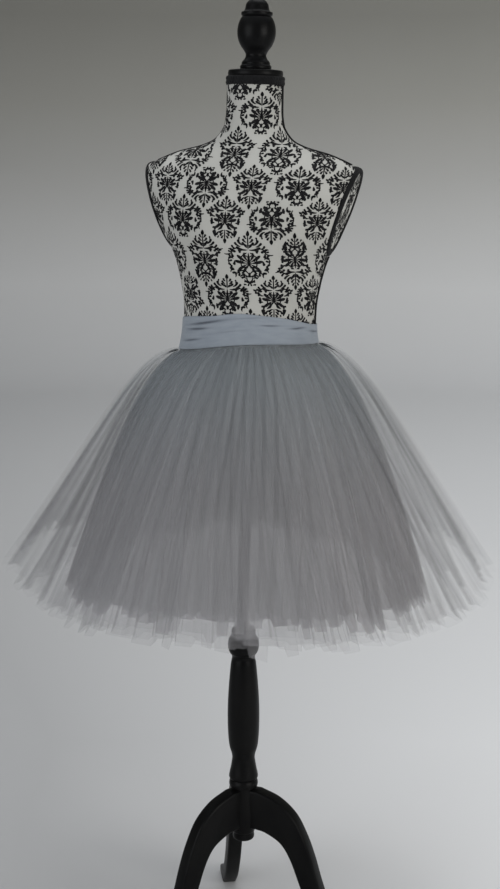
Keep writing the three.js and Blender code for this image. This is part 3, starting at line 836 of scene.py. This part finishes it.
def make_band():
    columns, rows = 360, 44
    angle = np.linspace(math.pi / 2, math.pi / 2 + TAU, columns, endpoint=False)
    foot = BAND["bottom"] + front_rise(angle)
    tall = BAND["top"] - BAND["bottom"] + BAND_RISE["top"] * (front_rise(angle) - side_rise(angle))
    tall -= BAND_RISE["narrower"] * np.cos(angle + TURN)
    for swing, waves, start in BAND_WAVES:
        tall += swing * np.sin(waves * angle + start)
    rings, v, painted_groove_shades = [], [], []
    for part in np.linspace(0, 1, rows):
        z = foot + part * tall
        painted_groove_shade = np.zeros(columns)
        radius = band_inside(angle, z) + BAND["thickness"] + BAND["flare"] * (1 - part) ** 3
        for direction, height, spread, reach, depth, slant in BAND_FOLDS:
            off = turn_between(angle, math.radians(direction))
            above = z - foot - height - slant * off / math.radians(spread)
            ridge = hump(above - reach, reach) - 0.8 * hump(above + 0.6 * reach, 0.7 * reach)
            strength = depth * hump(off, math.radians(spread)) ** 2
            radius = radius + strength * ridge
            # Painted shade: how much the colour darkens in the hollow below this cross fold
            painted_groove_shade += 0.62 * strength * hump(above + 0.4 * reach, 0.8 * reach)
        radius = radius - 0.9 * (abs(2 * part - 1) ** 14)
        radius = np.maximum(radius, band_inside(angle, z) + 0.5 + BAND_TUCK * (1 - part) ** 8)
        rings.append(on_axis(angle, radius, z))
        painted_groove_shades.append(np.clip(painted_groove_shade, 0, 1))
        v.append(part * BAND_CLOTH["height"])
    for part in np.array([1, 0.8, 0.6, 0.4, 0.25, 0.15, 0.08, 0.03, 0]):
        z = foot + part * tall
        rings.append(on_axis(angle, band_inside(angle, z) + BAND_TUCK * (1 - part) ** 8, z))
        painted_groove_shades.append(np.zeros(columns))
        v.append((2 - part) * BAND_CLOTH["height"])
    grid = np.stack(rings)
    uvs = np.stack(np.broadcast_arrays(angle * BAND_CLOTH["radius"], np.array(v)[:, None]), axis=-1)
    band = add_piece(
        "waistband_jersey", grid.reshape(-1, 3), tube_faces(len(rings), columns), JERSEY,
        uvs=uvs.reshape(-1, 2), round_u=TAU * BAND_CLOTH["radius"],
        marks={"painted_groove_shade": np.concatenate(painted_groove_shades)},
        replaces=["waistband"],
    )
    return band


make_band()


# Tulle, by the same curves as its solids

LAYERS = {
    "outer": {
        "node": "tulle_outer", "shift": 11, "seam": 1004.7, "side": (400, 643), "front": (385, 632),
        "flare": (73, -3), "rise": (-156, 240),
    },
    "middle": {
        "node": "tulle_middle", "shift": 8, "seam": 1003, "side": (352, 598), "front": (338, 618),
        "flare": (70, -12), "rise": (-122, 264),
    },
    "inner": {
        "node": "tulle_inner", "shift": 5, "seam": 1001.3, "side": (300, 604), "front": (290, 632),
        "flare": (60, -28), "rise": (-68, 236),
    },
}
# Sheets of net, from the outermost in: their layer, how far outside its solid they hang, how many folds
# they fall in, the depth of those, how ragged the hem is, the share of light that one thickness stops,
# how much the fold edges show, as denser net with painted light and shade, and the width of the flat net in
# metres
SHEET_COLUMNS = ("layer", "out", "folds", "depth", "ragged", "cover", "edge", "width")
SHEETS = [
    ("outer", 4, 44, 14, 19, 0.062, 1.0, 2.8),
    ("outer", -7, 50, 13, 18, 0.062, 0.9, 2.8),
    ("middle", 8, 56, 12, 16, 0.06, 0.8, 2.7),
    ("middle", -8, 62, 11, 15, 0.062, 0.7, 2.7),
    ("inner", 1, 60, 11, 24, 0.3, 0.6, 2.3),
    ("inner", -8, 60, 10, 22, 0.48, 0.4, 2.3),
    ("inner", -17, 56, 10, 18, 0.62, 0.3, 2.2),
]
NET_LENGTH = 0.49
NET_COLOUR = {"high": (0.368, 0.396, 0.416), "low": (0.41, 0.402, 0.413)}
# Painted shade: the colour of the sheets further in is made darker, as deeper in the skirt's shade
LAYER_PAINTED_SHADE = {"outer": 1.0, "middle": 0.97, "inner": 0.92}
NET_LEVELS = 34
# The net lies closer on the -X side than on the other, by this part either way
NET_UNEVEN = 0.38
# Its density at the waist, and what the hem adds at the front and back and at the sides
NET_DENSE = {"waist": 0.2, "front": 3.1, "side": 0.26}
# How far the net is shaded as a smooth shell, from 0 to 1
NET_SOFTNESS = 0.88
# Places across one fold: trough, steep side, flat crest, steep side
FOLD_PLACES = np.array([0, 0.07, 0.13, 0.165, 0.20, 0.27, 0.50, 0.73, 0.80, 0.835, 0.87, 0.93])
FOLD_EDGES = (0.165, 0.835)


def layer_profile(layer, angle, t):
    """Reach and height on a layer's smooth curve, by direction and part of the way to the hem."""
    sideways = np.cos(angle + TURN)
    share = sideways ** 2
    seam_z = layer["seam"] + front_rise(angle)
    seam_r = band_inside(angle, seam_z) + 1.6
    hem_r = layer["front"][0] + (layer["side"][0] - layer["front"][0]) * share + layer["shift"] * sideways
    hem_z = layer["front"][1] + (layer["side"][1] - layer["front"][1]) * share
    s = 1 - t

    def blend(start, end, k):
        return (
            start * s ** 3 + 3 * (start + layer["flare"][k]) * s * s * t
            + 3 * (end + layer["rise"][k]) * s * t * t + end * t ** 3
        )

    return blend(seam_r, hem_r, 0), blend(seam_z, hem_z, 1)


def fold_bounds(rng, folds, unevenness):
    """Directions at which folds of uneven widths begin and end, once round."""
    ends = np.concatenate([[0], np.cumsum(rng.lognormal(0, unevenness, folds))])
    return ends * TAU / ends[-1]


def soften(net, shell):
    """Shade the net mostly as the smooth shell that it hangs in: its threads scatter light all ways."""
    count = len(net.data.vertices)
    own = np.empty(3 * count, np.float32)
    net.data.vertex_normals.foreach_get("vector", own)
    own = own.reshape(-1, 3)
    even = shell @ np.array(UPPER.to_3x3()).T
    sign = np.sign((own * even).sum(axis=1, keepdims=True)).mean()
    mixed = NET_SOFTNESS * even * (1 if sign > 0 else -1) + (1 - NET_SOFTNESS) * own
    mixed /= np.linalg.norm(mixed, axis=1, keepdims=True)
    net.data.normals_split_custom_set_from_vertices(mixed.tolist())


def make_net(number, sheet):
    layer = LAYERS[sheet["layer"]]
    rng = np.random.default_rng(40 + number)
    folds = sheet["folds"]
    at_waist, at_hem = fold_bounds(rng, folds, 0.2), fold_bounds(rng, folds, 0.38)
    size = rng.uniform(0.5, 1.0, folds)
    length = sheet["ragged"] * np.clip(rng.normal(0, 0.5, folds), -1, 1)
    slope = rng.normal(0, 0.12, folds) * sheet["ragged"]
    crest_lift = rng.normal(0, 0.2, folds)
    # Lines on the fold edges: denser net there, and painted shade on its colour, painted light where they are
    # negative
    edge_density_and_painted_shading = rng.uniform(0.1, 1, (folds, 2)) ** 3 * np.where(rng.random((folds, 2)) < 0.2, -1, 1)
    fold = np.append(np.repeat(np.arange(folds), len(FOLD_PLACES)), folds - 1)
    place = np.append(np.tile(FOLD_PLACES, folds), 1.0)
    following = (fold + 1) % folds
    crest = smooth(0.13, 0.20, place) - smooth(0.80, 0.87, place)
    trough = size[fold] * (1 - place) + size[following] * place
    height = (2 * crest - 1) * np.where(crest > 0.5, size[fold], trough) + crest * crest_lift[fold]
    tab = crest * (length[fold] + slope[fold] * (2 * place - 1))
    between = length[fold] * (1 - place) + length[following] * place
    tab += (1 - crest) * 0.5 * (between - sheet["ragged"])
    lines = np.zeros(len(place))
    for k, spot in enumerate(FOLD_EDGES):
        lines += np.isclose(place, spot) * edge_density_and_painted_shading[fold, k]
    start = at_waist[fold] + place * (at_waist[fold + 1] - at_waist[fold])
    end = at_hem[fold] + place * (at_hem[fold + 1] - at_hem[fold])
    # Small gathers at the waist open out on the way down, over slow swells
    gathers = sum(np.sin((213 + 19 * k) * start + rng.uniform(0, TAU)) for k in range(4)) / 2.2
    swells = sum(rng.normal(0, 1) * np.sin(k * start + rng.uniform(0, TAU)) for k in (2, 3, 5, 8)) * 2.0

    # The sewn edge, tucked up inside the band
    angle = math.pi / 2 + start
    tuck_z = BAND["bottom"] + front_rise(angle) + 3.6
    rows = [on_axis(angle, band_inside(angle, tuck_z) + 0.2 + 0.08 * number, tuck_z)]
    shell = [np.stack([np.cos(angle), np.sin(angle), np.zeros(len(angle))], axis=-1)]
    uvs = [np.c_[(start + end) / 2 * sheet["width"] / TAU, np.full(len(start), NET_LENGTH + 0.0036)]]
    crease, fall, dense = [np.zeros(len(start))], [np.zeros(len(start))], [np.ones(len(start))]
    for t in np.linspace(0, 1, NET_LEVELS) ** 0.92:
        drift = t ** 1.3
        angle = math.pi / 2 + start * (1 - drift) + end * drift
        (r0, z0), (r1, z1) = layer_profile(layer, angle, t - 0.02), layer_profile(layer, angle, t + 0.02)
        span = np.hypot(r1 - r0, z1 - z0)
        along_r, along_z = (r1 - r0) / span, (z1 - z0) / span
        r, z = layer_profile(layer, angle, t)
        lift = 0.62 * sheet["depth"] * height * (0.10 * smooth(0, 0.05, t) + 0.90 * t)
        lift += sheet["out"] * t ** 0.7 + swells * t ** 1.5
        lift += gathers * 1.3 * smooth(0, 0.06, t) * (1 - t) ** 2.2
        reach = tab * t ** 5
        out, down = r - along_z * lift + along_r * reach, z + along_r * lift + along_z * reach
        rows.append(on_axis(angle, out, down))
        shell.append(np.stack([-along_z * np.cos(angle), -along_z * np.sin(angle), along_r], axis=-1))
        uvs.append(np.c_[(start + end) / 2 * sheet["width"] / TAU, np.full(len(start), (1 - t) * NET_LENGTH)])
        crease.append(lines * sheet["edge"] * smooth(0.08, 0.45, t))
        fall.append(np.full(len(start), float(smooth(0.15, 0.85, t))))
        across = np.cos(angle + TURN)
        added = NET_DENSE["front"] + across ** 2 * (NET_DENSE["side"] - NET_DENSE["front"])
        thicker = NET_DENSE["waist"] + t ** 3 * added
        dense.append(thicker * (1 - NET_UNEVEN * across * t) if sheet["cover"] < 0.2 else np.ones(len(start)))
    faces = grid_faces(len(rows), len(start), False)[:, ::-1]
    # Painted shade on the colour of the inner sheets
    shade = LAYER_PAINTED_SHADE[sheet["layer"]]
    high, low = (tuple(shade * part for part in NET_COLOUR[end]) for end in ("high", "low"))
    marks = {"crease": crease, "fall": fall, "dense": dense}
    net = add_piece(
        f"net_{sheet['layer']}_{number}", np.concatenate(rows), faces,
        tulle_material(f"grey_net_{number}", sheet, high, low),
        uvs=np.concatenate(uvs),
        marks={mark: np.concatenate(values) for mark, values in marks.items()},
        replaces=[layer["node"]],
    )
    soften(net, np.concatenate(shell))


for number, sheet in enumerate(SHEETS, 1):
    make_net(number, dict(zip(SHEET_COLUMNS, sheet)))


# Turned and sawn wood

COLUMN = [
    (0, 175), (16.5, 175), (18, 177), (18, 186.5), (19, 188), (19, 262), (23.6, 263.5), (24.5, 268),
    (23.4, 273), (22, 275.5), (24.4, 278.5), (24.2, 283), (22, 293), (20, 304), (19.2, 312), (20.4, 319),
    (23.8, 330), (25.6, 344), (26.8, 366), (27, 389), (25.8, 420), (23.5, 450), (21.2, 472), (19.5, 482),
    (20.6, 485.5), (23.4, 489), (26.5, 500), (25.2, 511), (20.5, 519), (20.5, 526), (18.5, 529), (0, 529),
]
FINIAL = [
    (0, 1477.3), (25, 1477.3), (26.5, 1479.5), (26.5, 1484), (24.5, 1486.5), (24, 1490), (19, 1497),
    (17.5, 1502.5), (19.5, 1508), (27, 1519), (31.6, 1531), (32.8, 1543), (31, 1556), (27, 1565.5),
    (24.6, 1568.5), (26.6, 1571), (26.6, 1575.5), (22, 1578), (20.4, 1582), (18.6, 1590), (12, 1597),
    (0, 1600),
]
NECK_PLATE = [
    (0, 1466.6), (45.5, 1466.6), (46.5, 1467.6), (46.5, 1474.5), (45.7, 1476.3), (44, 1477), (0, 1477),
]
ROD = [(0, 529.6), (10, 529.6), (10, 739.7), (0, 739.7)]


def rounded_profile(profile, steps):
    """Profile with its gentle stretches curved and its sharp corners kept."""
    points = np.array(profile, float)
    out = [points[0]]
    for k in range(len(points) - 1):
        p1, p2 = points[k], points[k + 1]
        p0 = points[k - 1] if k else p1
        p3 = points[k + 2] if k + 2 < len(points) else p2
        gap = np.linalg.norm(p2 - p1)
        tangents = []
        for before, middle, after in ((p0, p1, p2), (p1, p2, p3)):
            a, b = middle - before, after - middle
            la, lb = np.linalg.norm(a), np.linalg.norm(b)
            straight = la and lb and np.dot(a, b) / (la * lb) > 0.55
            tangents.append((a / la + b / lb) / 2 * gap if straight else (p2 - p1))
        for t in np.linspace(0, 1, steps + 1)[1:]:
            s = 1 - t
            along = tangents[0] * s - tangents[1] * t
            out.append(p1 * s * s * (1 + 2 * t) + p2 * t * t * (1 + 2 * s) + t * s * along)
    return np.array(out)


def make_turned(name, profile, place, replaces, steps=5, columns=96):
    outline = rounded_profile(profile, steps)
    outline[:, 0] = np.maximum(outline[:, 0], 0)
    angle = np.linspace(0, TAU, columns, endpoint=False)
    rings = [on_axis(angle, r, z) for r, z in outline[1:-1]]
    ends = [[[0, 0, outline[0, 1]], [0, 0, outline[-1, 1]]]]
    points = np.concatenate(rings + ends)
    faces = barrel_faces(len(rings), columns)
    piece = add_piece(name, points, faces, PAINT, place=place, replaces=replaces)
    keep_sharp(piece, 38)
    return piece


def keep_sharp(piece, degrees):
    """Hard edges where faces meet at more than an angle."""
    piece.data.set_sharp_from_angle(angle=math.radians(degrees))


make_turned("turned_column", COLUMN, STAND, ["column"])
make_turned("turned_finial", FINIAL, UPPER, ["finial"])
make_turned("top_plate", NECK_PLATE, UPPER, ["neck_plate"])
make_turned("pole_rod", ROD, UPPER, ["upper_rod"], steps=1, columns=48)

LEG = {"thickness": 25, "edge": 4, "root": 14, "top": 260, "underside": 196, "foot": (190, 233), "seat": 19.3}
LEG_BACK = [
    (30, 260), (64, 249), (93, 227), (112, 196), (126, 162), (140, 118), (158, 74), (186, 37), (232, 13),
]
LEG_BELLY = [
    (190, 0), (168, 18), (146, 42), (126, 72), (107, 110), (88, 155), (70, 180), (44, 193), (26, 196),
]


def through(points, steps):
    """Centripetal curve through points, both ends included."""
    points = np.array(points, float)
    padded = np.concatenate([[2 * points[0] - points[1]], points, [2 * points[-1] - points[-2]]])
    out = []
    for k in range(1, len(padded) - 2):
        p0, p1, p2, p3 = padded[k - 1:k + 3]
        for t in np.linspace(0, 1, steps, endpoint=False):
            out.append(0.5 * (
                2 * p1 + (p2 - p0) * t + (2 * p0 - 5 * p1 + 4 * p2 - p3) * t * t
                + (3 * p1 - p0 - 3 * p2 + p3) * t ** 3
            ))
    return np.array(out + [points[-1]])


def make_leg(name, direction):
    outline = np.concatenate([
        [[LEG["root"], LEG["top"]]], through(LEG_BACK, 10), [[LEG["foot"][1], 4], [LEG["foot"][1] - 2, 0]],
        through(LEG_BELLY, 10), [[LEG["root"], LEG["underside"]]],
    ])
    before, after = np.roll(outline, 1, axis=0), np.roll(outline, -1, axis=0)
    along = (outline - before) / np.linalg.norm(outline - before, axis=1, keepdims=True)
    along = along + (after - outline) / np.linalg.norm(after - outline, axis=1, keepdims=True)
    inward = np.c_[along[:, 1], -along[:, 0]] / np.linalg.norm(along, axis=1, keepdims=True)
    half = LEG["thickness"] / 2
    rings = []
    # A quarter-round on each long edge
    turns = np.radians([0, 30, 60, 90])
    sides = [(-half + LEG["edge"] * (1 - math.cos(a)), LEG["edge"] * (1 - math.sin(a))) for a in turns]
    sides += [(-y, inset) for y, inset in sides[::-1]]
    for y, inset in sides:
        ring = outline + inward * inset
        reach = np.maximum(ring[:, 0], math.sqrt(LEG["seat"] ** 2 - y * y))
        height = np.maximum(ring[:, 1], 0)
        rings.append(np.c_[reach, np.full(len(ring), y), height])
    faces = capped_faces(len(rings), len(outline))
    place = STAND @ Matrix.Rotation(direction, 4, "Z")
    points = np.concatenate(rings)
    leg = add_piece(f"sawn_{name}", points, faces, PAINT, place=place, replaces=[name])
    keep_sharp(leg, 50)
    return leg


for leg_name, degrees in (("leg_back", 98), ("leg_front_left", 218), ("leg_front_right", 338)):
    make_leg(leg_name, math.radians(degrees))


# Stage, light and camera

def make_stage():
    """A seamless bowl in metres: pale floor swept up into a plain wall all round."""
    radius, fillet, top = 6.6, 1.2, 6.4
    profile = [(r, 0) for r in np.linspace(0.02, radius - fillet, 12)]
    profile += [
        (radius - fillet + fillet * math.sin(a), fillet * (1 - math.cos(a)))
        for a in np.linspace(0, math.pi / 2, 14)[1:]
    ]
    profile += [(radius, z) for z in np.linspace(fillet, top, 8)[1:]]
    columns = 128
    angle = np.linspace(0, TAU, columns, endpoint=False)
    rings = [on_axis(angle, r, z) for r, z in profile]
    mesh = bpy.data.meshes.new("stage_bowl")
    faces = grid_faces(len(rings), columns, True)[:, ::-1].tolist() + [list(range(columns))]
    mesh.from_pydata(np.concatenate(rings).tolist(), [], faces)
    mesh.polygons.foreach_set("use_smooth", [True] * len(mesh.polygons))
    mesh.materials.append(stage_material())
    bowl = bpy.data.objects.new("stage_bowl", mesh)
    bpy.context.scene.collection.objects.link(bowl)


def add_light(name, place, target, size, power, colour=(1, 1, 1)):
    data = bpy.data.lights.new(name, "AREA")
    data.shape = "RECTANGLE"
    data.size, data.size_y = size
    data.energy = power
    data.color = colour
    lamp = bpy.data.objects.new(name, data)
    lamp.location = place
    lamp.rotation_euler = (Vector(target) - Vector(place)).to_track_quat("-Z", "Y").to_euler()
    lamp.visible_camera = False
    bpy.context.scene.collection.objects.link(lamp)


def make_world(strength):
    world = bpy.data.worlds.new("soft_day")
    world.use_nodes = True
    background = world.node_tree.nodes["Background"]
    background.inputs["Color"].default_value = (0.9, 0.95, 1.0, 1)
    background.inputs["Strength"].default_value = strength
    bpy.context.scene.world = world


# The camera stands at about the neck's height and looks level; its lens is shifted down
VIEW = {"distance": 2.4, "height": 1.35, "level": 0.841, "scale": 1.699}
SENSOR = 36
IMAGE_HEIGHT = 889


def make_camera():
    """Camera as in the photograph: scale is in millimetres to the pixel where the pole stands."""
    data = bpy.data.cameras.new("camera")
    data.sensor_width = SENSOR
    data.lens = SENSOR * VIEW["distance"] * 1000 / VIEW["scale"] / IMAGE_HEIGHT
    data.shift_y = -(VIEW["height"] - VIEW["level"]) * 1000 / VIEW["scale"] / IMAGE_HEIGHT
    data.clip_start, data.clip_end = 0.05, 60
    camera = bpy.data.objects.new("camera", data)
    camera.location = (0, -VIEW["distance"], VIEW["height"])
    camera.rotation_euler = (math.pi / 2, 0, 0)
    bpy.context.scene.collection.objects.link(camera)
    bpy.context.scene.camera = camera


make_stage()
make_world(0.55)
add_light("window_right", (2.6, -2.5, 1.65), (0, 0, 0.85), (1.8, 1.6), 45, (1.0, 0.98, 0.95))
add_light("fill_left", (-2.8, -2.4, 1.7), (0, 0, 1.0), (2.6, 2.4), 51, (0.95, 0.97, 1.0))
add_light("from_above", (0.3, 0.6, 4.6), (0, 0.2, 0.9), (2.4, 2.4), 44)
add_light("wall_wash", (0, 2.4, 4.6), (0, 6.6, 0.9), (5, 1.5), 46)
make_camera()

scene = bpy.context.scene
scene.view_settings.view_transform = "Standard"
scene.cycles.transparent_max_bounces = 32
scene.cycles.max_bounces = 8
scene.cycles.diffuse_bounces = 2
scene.cycles.sample_clamp_indirect = 6
